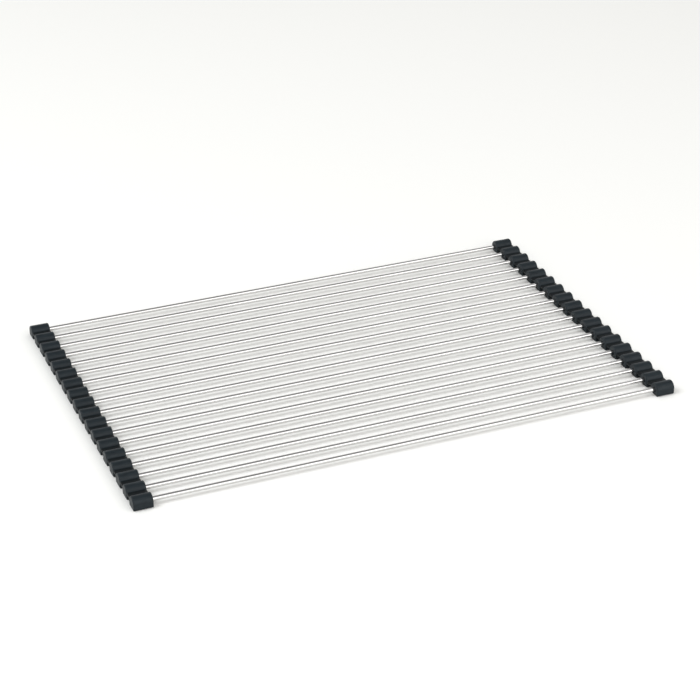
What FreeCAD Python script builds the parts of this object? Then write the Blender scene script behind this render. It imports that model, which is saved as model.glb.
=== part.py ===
"""A roll-up drying rack: steel rods held at both ends in two flexible side strips.

The rack lies flat. X runs along the rods, Y runs across them from the front rod to the rear rod,
and Z is up from the surface that the rack rests on. The origin is under the middle of the rack.

Each side strip is moulded as a row of sockets with a thin web between every two. The web is what
bends when the rack is rolled up, so one slat is a rod with its two sockets, and the slats are
joined by hinge lines that run along the middles of the webs.
"""

import FreeCAD, Part
import math
import os

# Rods: polished solid steel wire
ROD_COUNT = 18
ROD_DIAMETER = 4.0
ROD_PITCH = 18.0
ROD_CLEAR_SPAN = 444.0  # bare rod between its two sockets
ROD_END_CHAMFER = 0.4

# Sockets: blind caps with a round top, upright sides and a flat foot to rest on
SOCKET_WIDTH = 11.5
SOCKET_LENGTH = 16.5
SOCKET_SEAT = 13.0  # how far the rod goes in
SOCKET_EDGE_RADIUS = 0.9
SOCKET_MOUTH_CHAMFER = 0.3
SOCKET_CLEARANCE = 0.03  # between rod and bore, on the radius
FOOT_DEPTH = 4.8  # from the rod's axis down to the flat foot
FOOT_CORNER_RADIUS = 1.4

# Webs: thin plates near the height of the rods, between short stubs on the sockets
WEB_THICKNESS = 2.6
WEB_TOP = 2.2  # from the rod's axis up to a web's upper face
WEB_STUB = 0.4  # how far a stub stands out from the socket's side
WEB_END_INSET = 0.3  # how far a web stops short of the sockets' end faces

ROD_RADIUS = ROD_DIAMETER / 2
SOCKET_RADIUS = SOCKET_WIDTH / 2
BORE_RADIUS = ROD_RADIUS + SOCKET_CLEARANCE
SOCKET_START = ROD_CLEAR_SPAN / 2
AXIS_HEIGHT = FOOT_DEPTH
WEB_BOTTOM = WEB_TOP - WEB_THICKNESS
STUB_REACH = SOCKET_RADIUS + WEB_STUB

Vector = FreeCAD.Vector
ALONG_RODS = Vector(1, 0, 0)


def slat_y(number):
    """Where slat 1, 2, ... lies across the rack, with the row centred on the origin."""
    return (number - (ROD_COUNT + 1) / 2) * ROD_PITCH


def rod(y):
    """One rod, long enough to meet the floors of its two sockets."""
    reach = SOCKET_START + SOCKET_SEAT
    wire = Part.makeCylinder(ROD_RADIUS, 2 * reach, Vector(-reach, y, AXIS_HEIGHT), ALONG_RODS)
    end_edges = [edge for edge in wire.Edges if edge.Closed]
    return wire.makeChamfer(ROD_END_CHAMFER, end_edges)


def rounded_corner(side):
    """The foot's rounded corner at the front (side -1) or the rear (side +1)."""
    radius = FOOT_CORNER_RADIUS
    centre = Vector(0, side * (SOCKET_RADIUS - radius), radius - FOOT_DEPTH)
    slant = radius * math.sqrt(0.5)
    return Part.Arc(
        centre + Vector(0, side * radius, 0),
        centre + Vector(0, side * slant, -slant),
        centre + Vector(0, 0, -radius),
    ).toShape()


def socket_section():
    """A socket's outline across the rod, about the rod's axis."""
    front, rear = Vector(0, -SOCKET_RADIUS, 0), Vector(0, SOCKET_RADIUS, 0)
    corner_top = Vector(0, 0, FOOT_CORNER_RADIUS - FOOT_DEPTH)
    foot_half = Vector(0, SOCKET_RADIUS - FOOT_CORNER_RADIUS, 0)
    foot_middle = Vector(0, 0, -FOOT_DEPTH)
    outline = Part.Wire(
        [
            Part.Arc(front, Vector(0, 0, SOCKET_RADIUS), rear).toShape(),
            Part.makeLine(rear, rear + corner_top),
            rounded_corner(1),
            Part.makeLine(foot_middle + foot_half, foot_middle - foot_half),
            rounded_corner(-1),
            Part.makeLine(front + corner_top, front),
        ]
    )
    return Part.Face(outline)


def bore():
    """What the rod's hole takes out of a socket, with its chamfered mouth at x = 0."""
    mouth_radius = BORE_RADIUS + SOCKET_MOUTH_CHAMFER
    hole = Part.makeCylinder(BORE_RADIUS, SOCKET_SEAT, Vector(0, 0, 0), ALONG_RODS)
    mouth = Part.makeCone(
        mouth_radius, BORE_RADIUS, SOCKET_MOUTH_CHAMFER, Vector(0, 0, 0), ALONG_RODS
    )
    return hole.fuse(mouth)


def box_between(low, high):
    """A box from its lowest to its highest corner."""
    size = high - low
    return Part.makeBox(size.x, size.y, size.z, low)


def web_stub(side):
    """The stub on a socket's front (side -1) or rear (side +1), rooted in the socket's wall."""
    root = (BORE_RADIUS + SOCKET_RADIUS) / 2
    near, far = sorted((side * root, side * STUB_REACH))
    return box_between(
        Vector(WEB_END_INSET, near, WEB_BOTTOM),
        Vector(SOCKET_LENGTH - WEB_END_INSET, far, WEB_TOP),
    )


def socket(number):
    """The right-hand socket of one slat, in its place."""
    body = socket_section().extrude(Vector(SOCKET_LENGTH, 0, 0))
    end_edges = [
        edge for edge in body.Edges if edge.BoundBox.XLength < SOCKET_EDGE_RADIUS
    ]
    body = body.makeFillet(SOCKET_EDGE_RADIUS, end_edges).cut(bore())
    if number > 1:
        body = body.fuse(web_stub(-1))
    if number < ROD_COUNT:
        body = body.fuse(web_stub(1))
    body.translate(Vector(SOCKET_START, slat_y(number), AXIS_HEIGHT))
    return body.Solids[0]


def web(number):
    """The right-hand web between slat number and the next, from stub to stub."""
    return box_between(
        Vector(
            SOCKET_START + WEB_END_INSET,
            slat_y(number) + STUB_REACH,
            AXIS_HEIGHT + WEB_BOTTOM,
        ),
        Vector(
            SOCKET_START + SOCKET_LENGTH - WEB_END_INSET,
            slat_y(number + 1) - STUB_REACH,
            AXIS_HEIGHT + WEB_TOP,
        ),
    )


def both_sides(shape):
    """A right-hand piece with its mirror image at the rack's left side, as two solids."""
    left = shape.mirror(Vector(0, 0, 0), ALONG_RODS)
    return Part.makeCompound([left, shape])


def write_node(name, shape):
    shape.exportStep(f"parts/{name}.step")


os.makedirs("parts", exist_ok=True)
for slat in range(1, ROD_COUNT + 1):
    write_node(f"rod_{slat:02d}", rod(slat_y(slat)))
    write_node(f"end_caps_{slat:02d}", both_sides(socket(slat)))
for joint in range(1, ROD_COUNT):
    write_node(f"flex_webs_{joint:02d}", both_sides(web(joint)))
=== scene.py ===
"""Looks of the roll-up drying rack: polished steel rods in dark moulded silicone side strips.

All lengths are in metres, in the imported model's frame: X along the rods, Y from the front rod to
the rear rod, Z up. The rods' and sockets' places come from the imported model's own boxes.
"""

import math

import bpy
import numpy as np
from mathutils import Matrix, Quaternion, Vector


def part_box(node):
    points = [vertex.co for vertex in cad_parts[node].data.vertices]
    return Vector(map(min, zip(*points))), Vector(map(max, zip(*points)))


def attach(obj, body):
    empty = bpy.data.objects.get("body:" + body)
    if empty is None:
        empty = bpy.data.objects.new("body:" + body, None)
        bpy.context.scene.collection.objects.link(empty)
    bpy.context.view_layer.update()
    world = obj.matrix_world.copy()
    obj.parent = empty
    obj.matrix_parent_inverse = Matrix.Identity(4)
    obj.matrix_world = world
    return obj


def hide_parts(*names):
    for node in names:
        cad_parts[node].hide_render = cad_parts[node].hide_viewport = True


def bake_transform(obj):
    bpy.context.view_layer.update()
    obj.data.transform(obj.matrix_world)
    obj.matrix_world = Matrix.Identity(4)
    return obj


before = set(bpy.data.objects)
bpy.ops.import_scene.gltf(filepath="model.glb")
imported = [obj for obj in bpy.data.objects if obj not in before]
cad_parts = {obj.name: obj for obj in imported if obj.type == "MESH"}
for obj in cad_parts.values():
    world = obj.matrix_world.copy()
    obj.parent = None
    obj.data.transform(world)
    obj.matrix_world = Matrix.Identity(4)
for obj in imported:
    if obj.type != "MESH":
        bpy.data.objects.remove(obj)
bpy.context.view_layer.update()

MM = 0.001

# Sizes that the boxes don't give
SOCKET_LENGTH = 16.5 * MM
SOCKET_EDGE = 0.9 * MM  # rounding of a socket's two ends
FOOT_CORNER = 1.4 * MM  # rounding where a socket's upright sides meet its flat foot
RIM_INSET = 0.02 * MM  # the first and last ring of a socket's side, next to its end faces
MOUTH_CHAMFER = 0.3 * MM
MOUTH_DEPTH = 3.0 * MM  # how much of the bore is modelled behind the mouth
BORE_GAP = 0.03 * MM
WEB_EDGE = 0.6 * MM  # rounding of a web's two long ends
WEB_FILLET = 0.5 * MM  # how softly a web runs into a socket
ROD_END_ROUND = 0.4 * MM

# Colours of the moulding; the webs' colours are darker than the sockets' as painted shade, standing in
# for the shade down in the valleys between the sockets
SOCKET_DARK, SOCKET_LIGHT = (0.0035, 0.008, 0.0115), (0.010, 0.018, 0.0235)
WEB_PAINTED_SHADE_DARK, WEB_PAINTED_SHADE_LIGHT = (0.001, 0.003, 0.004), (0.004, 0.007, 0.009)

# Mesh fineness
ROUND_STEPS = 144
EDGE_STEPS = 6
SIDE_STEPS = 10
ROD_STEPS = 64
WEB_STEPS_ALONG = 10
WEB_STEPS_ACROSS = 20
WEB_STEPS_END = 6
HALVINGS = 34  # how often the search for a surface along a ray halves its stretch
SOCKET_SEARCH = 9 * MM  # the longest ray in a socket and in a web
WEB_SEARCH = 4 * MM

# How much closer together a socket's points are where it bends most, and over what angle
WEB_CROWDING = 3.0
CORNER_CROWDING = 2.0
CROWDING_SPREAD = 0.2

# Camera, as a direction and distance from the point that it looks at
CAMERA_AZIMUTH = math.radians(-22.42)
CAMERA_ELEVATION = math.radians(28.24)
CAMERA_ROLL = math.radians(-0.16)  # above 0, it turns anticlockwise as seen from behind
CAMERA_DISTANCE = 1.741
CAMERA_LENS = 101.97
CAMERA_SENSOR = 36.0
CAMERA_TARGET = (0.0117, 0.0118)

# Light on the rack: a soft sky, brighter overhead, a large key light at the left, and a wide
# light low at the front, which the steel mirrors
SKY_LOW, SKY_HIGH = 0.46, 0.76
SKY_COLOUR = (1.0, 0.99, 0.96)
KEY_PLACE = (-1.85, 0.1, 2.35)
KEY_SIZE = (1.7, 1.4)
KEY_POWER = 36.0
KEY_COLOUR = (0.95, 0.98, 1.0)
FRONT_PLACE = (0.70, -1.62, 0.95)
FRONT_SIZE = (2.0, 1.5)
FRONT_POWER = 12.5
FRONT_COLOUR = (1.0, 1.0, 1.0)

# The floor: as it is seen and mirrored, and as the light that it throws back finds it
FLOOR_HALF = 30.0
FLOOR_COLOUR = (1.0, 1.0, 0.99)
FLOOR_BOUNCE = (0.62, 0.62, 0.62)

# What the steel mirrors: white all round but for a dim part overhead, towards the rear
DIM_TOWARDS = (0.0, 0.36, 0.933)
DIM_EDGE = (0.70, 0.86)  # cosines of the angles at which the dim part starts and is fully dim
DIM_COLOUR = (0.27, 0.265, 0.27)


def cad_sizes():
    """The sizes and places of the repeated pieces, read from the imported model's boxes."""
    count = sum(name.startswith("rod_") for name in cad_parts)
    rods = [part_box(f"rod_{n:02d}") for n in range(1, count + 1)]
    caps_low, caps_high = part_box("end_caps_02")
    web_low, web_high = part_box("flex_webs_01")
    rod_low, rod_high = rods[0]
    axis_z = (rod_low.z + rod_high.z) / 2
    return {
        "count": count,
        "slat_y": [(low.y + high.y) / 2 for low, high in rods],
        "axis_z": axis_z,
        "rod_radius": (rod_high.z - rod_low.z) / 2,
        "rod_half": rod_high.x,
        "socket_radius": caps_high.z - axis_z,
        "foot_depth": axis_z - caps_low.z,
        "outer_x": caps_high.x,
        "stub_reach": (caps_high.y - caps_low.y) / 2,
        "web_half": (web_high.z - web_low.z) / 2,
        "web_middle": (web_high.z + web_low.z) / 2 - axis_z,
        "web_inset": caps_high.x - web_high.x,
    }


SIZE = cad_sizes()
PITCH = SIZE["slat_y"][1] - SIZE["slat_y"][0]
# Where a socket's outline bends most, as angles round its rod from straight behind it, upwards
WEB_ANGLE = math.atan2(SIZE["web_middle"] + SIZE["web_half"], SIZE["stub_reach"])
CORNER_ANGLE = math.atan2(SIZE["foot_depth"], SIZE["socket_radius"])


# ---------------------------------------------------------------- moulded side strip, as a field


def soft_min(a, b, width):
    """The lower of two distances, with a fillet about width wide where they meet."""
    share = np.clip(0.5 + 0.5 * (b - a) / width, 0.0, 1.0)
    return b + (a - b) * share - width * share * (1.0 - share)


def rounded(a, b, radius):
    """Distance outside the corner of two sides that are a and b away, rounded to radius."""
    a, b = a + radius, b + radius
    outside = np.hypot(np.maximum(a, 0.0), np.maximum(b, 0.0))
    inside = np.minimum(np.maximum(a, b), 0.0)
    return outside + inside - radius


def socket_distance(x, y, z):
    """Distance outside a socket, whose mouth is at x = 0 and whose rod's axis is X."""
    radius, half = SIZE["socket_radius"], SOCKET_LENGTH / 2
    round_top = np.hypot(y, z) - radius
    square_foot = rounded(np.abs(y) - radius, -z - SIZE["foot_depth"], FOOT_CORNER)
    section = np.where(z > 0.0, round_top, square_foot)
    return rounded(section, np.abs(x - half) - half, SOCKET_EDGE)


def plate_distance(x, z):
    """Distance outside the web's plate, which runs on and on along Y."""
    half = SOCKET_LENGTH / 2
    along = np.abs(x - half) - (half - SIZE["web_inset"])
    across = np.abs(z - SIZE["web_middle"]) - SIZE["web_half"]
    return rounded(along, across, WEB_EDGE)


def strip_distance(x, y, z, front, rear):
    """Distance outside a socket with its webs; front and rear say which sides have a web."""
    body = socket_distance(x, y, z)
    webbed = soft_min(body, plate_distance(x, z), WEB_FILLET)
    on_side = np.where(y < 0.0, front, rear)
    return np.where(on_side, webbed, body)


def reach(inside, limit):
    """How far each ray runs until it leaves the solid, by halving; inside says so at a distance."""
    low, high = np.zeros_like(limit), limit.copy()
    for _ in range(HALVINGS):
        middle = (low + high) / 2
        held = inside(middle)
        low = np.where(held, middle, low)
        high = np.where(held, high, middle)
    return (low + high) / 2


# ---------------------------------------------------------------- mesh helpers


def new_piece(name, points, faces, material, sharp=35.0):
    """A smooth-shaded mesh object, with creases sharper than the given angle kept."""
    mesh = bpy.data.meshes.new(name)
    mesh.from_pydata([tuple(p) for p in points], [], faces)
    mesh.validate()
    mesh.shade_smooth()
    mesh.set_sharp_from_angle(angle=math.radians(sharp))
    mesh.materials.append(material)
    piece = bpy.data.objects.new(name, mesh)
    bpy.context.scene.collection.objects.link(piece)
    return piece


def rings_to_faces(rings, steps, closed_start=True, closed_end=True):
    """Quads between consecutive rings of the same number of points, with end caps."""
    faces = []
    for ring in range(rings - 1):
        for step in range(steps):
            following = (step + 1) % steps
            a, b = ring * steps + step, ring * steps + following
            faces.append((a, b, b + steps, a + steps))
    if closed_start:
        faces.append(tuple(range(steps))[::-1])
    if closed_end:
        last = (rings - 1) * steps
        faces.append(tuple(last + step for step in range(steps)))
    return faces


def quarter(steps):
    """Angles of a quarter turn, both ends included."""
    return [math.pi / 2 * step / steps for step in range(steps + 1)]


# ---------------------------------------------------------------- rods


def rod_piece(number, material):
    """One rod: drawn wire with softly rounded ends, which sit hidden in the sockets."""
    radius, half = SIZE["rod_radius"], SIZE["rod_half"]
    profile = [
        (ROD_END_ROUND * (1 - math.cos(turn)), radius - ROD_END_ROUND * (1 - math.sin(turn)))
        for turn in quarter(EDGE_STEPS)
    ]
    ends = [(inset - half, r) for inset, r in profile]
    stations = ends + [(-x, r) for x, r in reversed(ends)]
    y, z = SIZE["slat_y"][number - 1], SIZE["axis_z"]
    points = []
    for x, r in stations:
        for step in range(ROD_STEPS):
            turn = 2 * math.pi * step / ROD_STEPS
            points.append((x, y + r * math.cos(turn), z + r * math.sin(turn)))
    faces = rings_to_faces(len(stations), ROD_STEPS)
    return new_piece(f"steel_rod_{number:02d}", points, faces, material)


# ---------------------------------------------------------------- sockets


def ring_angles():
    """Angles round a socket, closer together where the webs join and at the foot's corners."""
    fine = np.linspace(-math.pi / 2, math.pi / 2, 721)
    density = 1.0 + WEB_CROWDING * np.exp(-(((fine - WEB_ANGLE) / CROWDING_SPREAD) ** 2))
    density += CORNER_CROWDING * np.exp(-(((fine + CORNER_ANGLE) / CROWDING_SPREAD) ** 2))
    passed = np.concatenate([[0.0], np.cumsum((density[1:] + density[:-1]) / 2)])
    rear = np.interp(np.arange(ROUND_STEPS // 2) * passed[-1] * 2 / ROUND_STEPS, passed, fine)
    return np.concatenate([rear, rear + math.pi])


def socket_stations():
    """Places along a socket at which it gets a ring of points, mouth first."""
    start = [SOCKET_EDGE * (1 - math.cos(turn)) for turn in quarter(EDGE_STEPS)]
    start[0] = RIM_INSET
    web_end = SIZE["web_inset"] + WEB_EDGE
    near_web = [
        SIZE["web_inset"] + WEB_EDGE * (1 - math.cos(turn)) for turn in quarter(EDGE_STEPS)[1:]
    ]
    half = SOCKET_LENGTH / 2
    side = [web_end + (half - web_end) * step / SIDE_STEPS for step in range(1, SIDE_STEPS)]
    first_half = start + near_web + side
    return first_half + [half] + [SOCKET_LENGTH - x for x in reversed(first_half)]


def socket_points(front, rear):
    """Rings of points of one socket, as an array of rings, steps and x, y, z."""
    turn = ring_angles()
    across, up = np.cos(turn), np.sin(turn)
    limit = np.minimum(SIZE["stub_reach"] / np.maximum(np.abs(across), 1e-6), SOCKET_SEARCH)
    bore = np.full_like(turn, SIZE["rod_radius"] + BORE_GAP)

    def outline(x):
        return reach(lambda r: strip_distance(x, r * across, r * up, front, rear) < 0, limit)

    mouth_rim, closed_rim = outline(RIM_INSET), outline(SOCKET_LENGTH - RIM_INSET)
    rings = [(MOUTH_DEPTH, bore), (MOUTH_CHAMFER, bore), (0.0, bore + MOUTH_CHAMFER)]
    rings += [(0.0, (bore + mouth_rim) / 2)]
    rings += [(x, outline(x)) for x in socket_stations()]
    rings += [(SOCKET_LENGTH, closed_rim * share) for share in (0.7, 0.3, 0.05)]
    return np.array(
        [np.stack([np.full_like(turn, x), radius * across, radius * up], axis=1) for x, radius in rings]
    )


def socket_piece(number, side, rings, material):
    """The socket of one slat at the left (side -1) or the right (side +1) of the rack."""
    points = rings.reshape(-1, 3).copy()
    points[:, 0] = side * (SIZE["outer_x"] - SOCKET_LENGTH + points[:, 0])
    points[:, 1] += SIZE["slat_y"][number - 1]
    points[:, 2] += SIZE["axis_z"]
    faces = rings_to_faces(len(rings), ROUND_STEPS)
    if side > 0:
        faces = [face[::-1] for face in faces]
    hand = "left" if side < 0 else "right"
    return new_piece(f"socket_{hand}_{number:02d}", points, faces, material)


# ---------------------------------------------------------------- webs


def web_rays():
    """Where the rays that find a web's outline start along X, and their directions in X and Z."""
    half = SOCKET_LENGTH / 2 - SIZE["web_inset"] - WEB_EDGE
    spread = [half * (2 * step / WEB_STEPS_ALONG - 1) for step in range(WEB_STEPS_ALONG + 1)]
    fan = [math.pi * step / WEB_STEPS_END for step in range(1, WEB_STEPS_END)]
    rays = [(x, 0.0, 1.0) for x in spread]
    rays += [(half, math.sin(turn), math.cos(turn)) for turn in fan]
    rays += [(x, 0.0, -1.0) for x in reversed(spread)]
    rays += [(-half, -math.sin(turn), -math.cos(turn)) for turn in fan]
    return np.array(rays)


def web_rings():
    """Rings of points of one web, from the stub in front of it to the stub behind it."""
    rays = web_rays()
    start_x, middle = rays[:, 0] + SOCKET_LENGTH / 2, SIZE["web_middle"]
    limit = np.full(len(rays), WEB_SEARCH)
    first, last = SIZE["stub_reach"], PITCH - SIZE["stub_reach"]
    made = []
    for step in range(WEB_STEPS_ACROSS + 1):
        y = first + (last - first) * step / WEB_STEPS_ACROSS

        def inside(r, y=y):
            x, z = start_x + r * rays[:, 1], middle + r * rays[:, 2]
            ahead = strip_distance(x, np.full_like(x, y), z, True, True)
            behind = strip_distance(x, np.full_like(x, y - PITCH), z, True, True)
            return np.minimum(ahead, behind) < 0

        r = reach(inside, limit)
        x, z = start_x + r * rays[:, 1], middle + r * rays[:, 2]
        made.append(np.stack([x, np.full_like(r, y), z], axis=1))
    return np.array(made)


def web_piece(number, side, rings, material):
    """The web behind one slat at the left (side -1) or the right (side +1) of the rack."""
    points = rings.reshape(-1, 3).copy()
    points[:, 0] = side * (SIZE["outer_x"] - SOCKET_LENGTH + points[:, 0])
    points[:, 1] += SIZE["slat_y"][number - 1]
    points[:, 2] += SIZE["axis_z"]
    faces = rings_to_faces(len(rings), rings.shape[1])
    if side < 0:
        faces = [face[::-1] for face in faces]
    hand = "left" if side < 0 else "right"
    return new_piece(f"web_{hand}_{number:02d}", points, faces, material)


# ---------------------------------------------------------------- materials


class Shader:
    """A material with a Principled BSDF, and short ways to add and join its nodes."""

    def __init__(self, name):
        self.material = bpy.data.materials.new(name)
        self.material.use_nodes = True
        self.nodes = self.material.node_tree.nodes
        self.links = self.material.node_tree.links
        self.principled = self.nodes["Principled BSDF"]

    def set(self, **values):
        for socket, value in values.items():
            self.principled.inputs[socket.replace("_", " ")].default_value = value

    def node(self, kind, inputs=None, **settings):
        made = self.nodes.new(kind)
        for key, value in settings.items():
            setattr(made, key, value)
        for key, value in (inputs or {}).items():
            if isinstance(value, bpy.types.NodeSocket):
                self.links.new(value, made.inputs[key])
            else:
                made.inputs[key].default_value = value
        return made

    def stretched(self, scale):
        """Position in the model's frame, scaled along each axis."""
        place = self.node("ShaderNodeTexCoord").outputs["Object"]
        mapping = self.node("ShaderNodeMapping", {"Vector": place, "Scale": scale})
        return mapping.outputs["Vector"]

    def noise(self, scale, detail=2.0, roughness=0.5, stretch=(1, 1, 1)):
        """Noise with about scale features to the metre."""
        return self.node(
            "ShaderNodeTexNoise",
            {"Vector": self.stretched(stretch), "Scale": scale, "Detail": detail, "Roughness": roughness},
        ).outputs["Fac"]

    def spread(self, value, low, high, start=0.3, end=0.7):
        """Maps value from start..end to low..high."""
        return self.node(
            "ShaderNodeMapRange",
            {"Value": value, "From Min": start, "From Max": end, "To Min": low, "To Max": high},
        ).outputs["Result"]

    def colours(self, value, stops):
        """A colour ramp over value; stops are (place, (r, g, b))."""
        ramp = self.node("ShaderNodeValToRGB", {"Fac": value})
        elements = ramp.color_ramp.elements
        while len(elements) < len(stops):
            elements.new(0.5)
        for element, (place, colour) in zip(elements, stops):
            element.position = place
            element.color = (*colour, 1.0)
        return ramp.outputs["Color"]

    def mixed(self, share, below, colour):
        """The colour coming from below, with a share of another colour over it."""
        mix = self.nodes.new("ShaderNodeMix")
        mix.data_type = "RGBA"
        factor, first, second = (mix.inputs[index] for index in (0, 6, 7))
        self.links.new(share, factor)
        self.links.new(below, first)
        second.default_value = (*colour, 1.0)
        return mix.outputs[2]

    def bump(self, height, strength, distance, below=None):
        inputs = {"Height": height, "Strength": strength, "Distance": distance}
        if below is not None:
            inputs["Normal"] = below
        return self.node("ShaderNodeBump", inputs).outputs["Normal"]

    def join(self, output, socket):
        self.links.new(output, self.principled.inputs[socket])


def rod_steel():
    """Polished stainless wire: fine draw lines along it, and soft uneven patches in the polish."""
    shader = Shader("rod_steel")
    shader.set(Metallic=1.0)
    patches = shader.noise(60.0, 3.0, stretch=(0.4, 4, 4))
    shader.join(
        shader.colours(patches, [(0.3, (0.60, 0.59, 0.58)), (0.7, (0.68, 0.67, 0.66))]),
        "Base Color",
    )
    smears = shader.noise(160.0, 3.0, stretch=(0.25, 3, 3))
    shader.join(shader.spread(smears, 0.06, 0.13), "Roughness")
    lines = shader.noise(1.0, 2.0, stretch=(60, 6000, 6000))
    waves = shader.noise(25.0, 1.0, stretch=(1, 8, 8))
    drawn = shader.bump(lines, 0.08, 0.02 * MM)
    shader.join(shader.bump(waves, 0.25, 0.1 * MM, below=drawn), "Normal")
    return shader.material


def moulded_silicone(name, dark, light, gloss):
    """Anthracite silicone: a fine matt moulded grain, faint streaks and mottling, a dusty bloom."""
    shader = Shader(name)
    shader.set(Specular_IOR_Level=gloss)
    mottling = shader.noise(220.0, 4.0, 0.6)
    streaks = shader.noise(1.0, 3.0, 0.6, stretch=(110, 900, 900))
    grain = shader.noise(3800.0, 3.0, 0.65)
    shade = shader.colours(streaks, [(0.32, dark), (0.68, light)])
    speckle = shader.spread(grain, 0.0, 0.08, 0.52, 0.75)
    shader.join(shader.mixed(speckle, shade, (0.16, 0.17, 0.18)), "Base Color")
    shader.join(shader.spread(mottling, 0.40, 0.54), "Roughness")
    fine = shader.bump(grain, 0.35, 0.05 * MM)
    shader.join(shader.bump(mottling, 0.2, 0.15 * MM, below=fine), "Normal")
    return shader.material


# ---------------------------------------------------------------- the object


def build_rack():
    """Every visible piece, in place: rods and sockets riding on their slats, webs between two slats."""
    steel = rod_steel()
    silicone = moulded_silicone("socket_silicone", SOCKET_DARK, SOCKET_LIGHT, 0.28)
    # The webs get the moulding's colours darkened: painted shade for the valleys between the sockets
    web_silicone = moulded_silicone("web_silicone", WEB_PAINTED_SHADE_DARK, WEB_PAINTED_SHADE_LIGHT, 0.15)
    count = SIZE["count"]
    shapes = {
        (front, rear): socket_points(front, rear)
        for front, rear in ((False, True), (True, True), (True, False))
    }
    web_shape = web_rings()
    for number in range(1, count + 1):
        body = f"slat_{number:02d}"
        rod = rod_piece(number, steel)
        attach(rod, body)
        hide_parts(f"rod_{number:02d}")
        for side in (-1, 1):
            socket = socket_piece(number, side, shapes[number > 1, number < count], silicone)
            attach(socket, body)
            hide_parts(f"end_caps_{number:02d}")
            if number < count:
                web = web_piece(number, side, web_shape, web_silicone)
                bend_web(web)
                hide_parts(f"flex_webs_{number:02d}")


def bend_web(web):
    """Bakes a web's place into its mesh, which runs from stub to stub, without attaching it to a slat."""
    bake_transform(web)


# ---------------------------------------------------------------- stage


def shader_nodes(tree):
    """Empties a node tree, and returns a function that adds a node with its inputs filled in."""
    tree.nodes.clear()

    def add(kind, *in_order, **by_name):
        node = tree.nodes.new(kind)
        filled = list(zip(node.inputs, in_order))
        filled += [(node.inputs[name], value) for name, value in by_name.items()]
        for socket, value in filled:
            if isinstance(value, bpy.types.NodeSocket):
                tree.links.new(value, socket)
            else:
                socket.default_value = value
        return node

    return add


def either(add, first, second):
    """1 where either of two values is 1."""
    node = add("ShaderNodeMath", first, second)
    node.operation = "MAXIMUM"
    return node.outputs[0]


def shows_background(add):
    """1 for the rays that show a background: straight from the camera, off metal, through glass."""
    path = add("ShaderNodeLightPath").outputs
    mirrored = either(add, path["Is Glossy Ray"], path["Is Transmission Ray"])
    return either(add, path["Is Camera Ray"], mirrored)


def add_floor():
    """A wide, plain white floor, which keeps the rack's shadow."""
    mesh = bpy.data.meshes.new("floor")
    half = FLOOR_HALF
    corners = [(-half, -half, 0), (half, -half, 0), (half, half, 0), (-half, half, 0)]
    mesh.from_pydata(corners, [], [(0, 1, 2, 3)])
    material = bpy.data.materials.new("floor")
    material.use_nodes = True
    add = shader_nodes(material.node_tree)
    seen = add("ShaderNodeBsdfDiffuse", Color=(*FLOOR_COLOUR, 1.0))
    bounce = add("ShaderNodeBsdfDiffuse", Color=(*FLOOR_BOUNCE, 1.0))
    chosen = add("ShaderNodeMixShader", shows_background(add), bounce.outputs[0], seen.outputs[0])
    add("ShaderNodeOutputMaterial", Surface=chosen.outputs[0])
    mesh.materials.append(material)
    floor = bpy.data.objects.new("floor", mesh)
    bpy.context.scene.collection.objects.link(floor)


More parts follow.
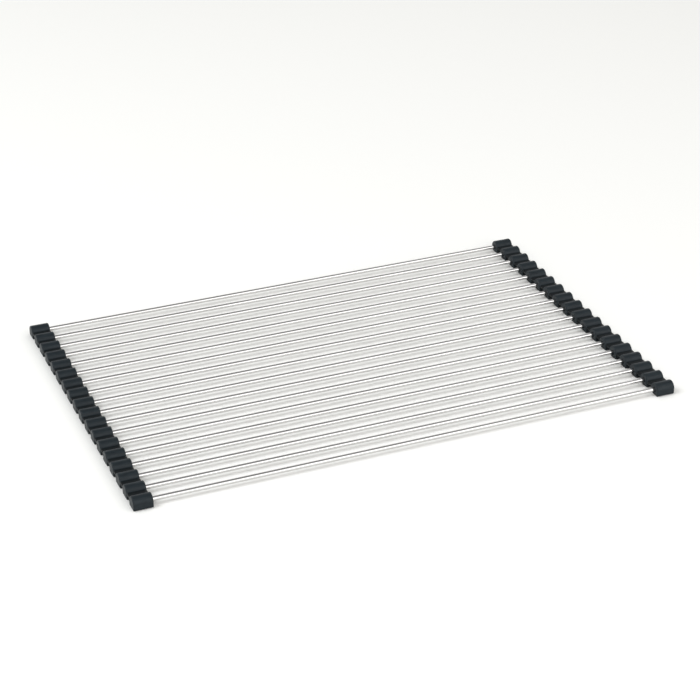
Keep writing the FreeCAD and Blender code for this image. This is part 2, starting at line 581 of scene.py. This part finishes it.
def add_world():
    """The studio: a soft sky that lights the rack, and the white room that is seen."""
    world = bpy.data.worlds.new("studio")
    world.use_nodes = True
    add = shader_nodes(world.node_tree)
    direction = add("ShaderNodeTexCoord").outputs["Generated"]
    height = add("ShaderNodeSeparateXYZ", Vector=direction).outputs["Z"]
    level = add("ShaderNodeMapRange", Value=height)
    level.inputs["To Min"].default_value = SKY_LOW
    level.inputs["To Max"].default_value = SKY_HIGH
    sky = add("ShaderNodeBackground", Strength=level.outputs["Result"])
    sky.inputs["Color"].default_value = (*SKY_COLOUR, 1.0)
    nearness = add("ShaderNodeVectorMath", direction, DIM_TOWARDS)
    nearness.operation = "DOT_PRODUCT"
    ramp = add("ShaderNodeValToRGB", Fac=nearness.outputs["Value"])
    white, dim = ramp.color_ramp.elements
    white.position, dim.position = DIM_EDGE
    white.color, dim.color = (1.0, 1.0, 1.0, 1.0), (*DIM_COLOUR, 1.0)
    mirrored = add("ShaderNodeBackground", Color=ramp.outputs["Color"])
    behind = add("ShaderNodeBackground", Color=(1.0, 1.0, 1.0, 1.0))
    lit = add("ShaderNodeMixShader", shows_background(add), sky.outputs[0], mirrored.outputs[0])
    to_camera = add("ShaderNodeLightPath").outputs["Is Camera Ray"]
    chosen = add("ShaderNodeMixShader", to_camera, lit.outputs[0], behind.outputs[0])
    add("ShaderNodeOutputWorld", Surface=chosen.outputs[0])
    bpy.context.scene.world = world


def add_light(name, place, size, power, colour):
    """A soft light aimed at the middle of the rack; size is its height and its width."""
    data = bpy.data.lights.new(name, "AREA")
    data.shape = "RECTANGLE"
    data.size, data.size_y = size
    data.energy, data.color = power, colour
    light = bpy.data.objects.new(name, data)
    light.location = place
    light.rotation_mode = "QUATERNION"
    light.rotation_quaternion = (-Vector(place)).to_track_quat("-Z", "Y")
    bpy.context.scene.collection.objects.link(light)


def add_camera():
    azimuth, elevation = CAMERA_AZIMUTH, CAMERA_ELEVATION
    back = Vector(
        (
            math.sin(azimuth) * math.cos(elevation),
            -math.cos(azimuth) * math.cos(elevation),
            math.sin(elevation),
        )
    )
    data = bpy.data.cameras.new("camera")
    data.sensor_width = CAMERA_SENSOR
    data.lens = CAMERA_LENS
    camera = bpy.data.objects.new("camera", data)
    camera.location = Vector((*CAMERA_TARGET, SIZE["axis_z"])) + back * CAMERA_DISTANCE
    camera.rotation_mode = "QUATERNION"
    camera.rotation_quaternion = (-back).to_track_quat("-Z", "Y") @ Quaternion(
        (0, 0, 1), CAMERA_ROLL
    )
    bpy.context.scene.collection.objects.link(camera)
    bpy.context.scene.camera = camera


build_rack()
add_floor()
add_world()
add_light("key", KEY_PLACE, KEY_SIZE, KEY_POWER, KEY_COLOUR)
add_light("front", FRONT_PLACE, FRONT_SIZE, FRONT_POWER, FRONT_COLOUR)
add_camera()
bpy.context.scene.view_settings.view_transform = "Standard"
